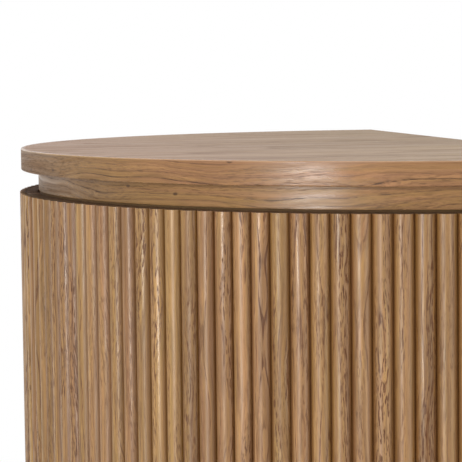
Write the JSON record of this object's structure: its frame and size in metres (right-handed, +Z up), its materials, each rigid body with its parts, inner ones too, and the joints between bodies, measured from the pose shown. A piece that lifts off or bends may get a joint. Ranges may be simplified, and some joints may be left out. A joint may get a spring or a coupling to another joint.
{
  "type": "bar cabinet",
  "caption": "Half-moon oak bar cabinet with a slab top on a recessed neck, slatted curved doors on hinges, shelves and stemware rails inside.",
  "frame": {"origin": "floor level, under the middle of the cabinet's outline", "axes": "+Z up, -Y towards the curved front, +Y towards the flat back, +X to the right as seen from the front"},
  "size_m": [0.9658, 0.5439, 1.065],
  "materials": {
    "oak_top": "matt greyed oak",
    "oak_slats": "satin warm oak, upright grain",
    "oak_bands": "satin warm oak, grain along the band",
    "oak_panels": "satin oak veneer",
    "brass": "brushed, slightly dull",
    "steel": "brushed",
    "nylon": "matt"
  },
  "bodies": {
    "cabinet": {"top_slab": "oak_top", "neck_band": "oak_bands", "neck_back_rail": "oak_bands", "plinth_band": "oak_bands", "plinth_back_rail": "oak_bands", "carcass_top": "oak_panels", "carcass_bottom": "oak_panels", "back_panel": "oak_panels", "middle_shelf": "oak_panels", "lower_divider": "oak_panels", "stemware_rail_1": "oak_bands", "stemware_rail_2": "oak_bands", "stemware_rail_3": "oak_bands", "stemware_rail_4": "oak_bands", "glide_1": "nylon", "glide_2": "nylon", "glide_3": "nylon", "glide_4": "nylon", "glide_5": "nylon", "side_panel_right": "oak_panels", "side_panel_left": "oak_panels", "side_slats_right": "oak_slats", "side_slats_left": "oak_slats", "lower_shelf_right": "oak_panels", "lower_shelf_left": "oak_panels", "hinge_right_1_frame_leaf": "brass", "hinge_right_1_pin": "brass", "hinge_right_2_frame_leaf": "brass", "hinge_right_2_pin": "brass", "hinge_right_3_frame_leaf": "brass", "hinge_right_3_pin": "brass", "hinge_left_1_frame_leaf": "brass", "hinge_left_1_pin": "brass", "hinge_left_2_frame_leaf": "brass", "hinge_left_2_pin": "brass", "hinge_left_3_frame_leaf": "brass", "hinge_left_3_pin": "brass", "catch_top_right": "nylon", "catch_bottom_right": "nylon", "catch_top_left": "nylon", "catch_bottom_left": "nylon"},
    "right_door": {"door_core_right": "oak_panels", "door_slats_right": "oak_slats", "hinge_right_1_door_leaf": "brass", "hinge_right_2_door_leaf": "brass", "hinge_right_3_door_leaf": "brass", "strike_top_right": "steel", "strike_bottom_right": "steel"},
    "left_door": {"door_core_left": "oak_panels", "door_slats_left": "oak_slats", "hinge_left_1_door_leaf": "brass", "hinge_left_2_door_leaf": "brass", "hinge_left_3_door_leaf": "brass", "strike_top_left": "steel", "strike_bottom_left": "steel"}
  },
  "joints": [
    {"name": "right_door_swing", "type": "hinge", "parent": "cabinet", "child": "right_door", "pos_m": [0.48037, 0.21, 0.539], "axis": [0, 0, 1], "range_deg": [0, 110]},
    {"name": "left_door_swing", "type": "hinge", "parent": "cabinet", "child": "left_door", "pos_m": [-0.48037, 0.21, 0.539], "axis": [0, 0, -1], "range_deg": [0, 110]}
  ]
}
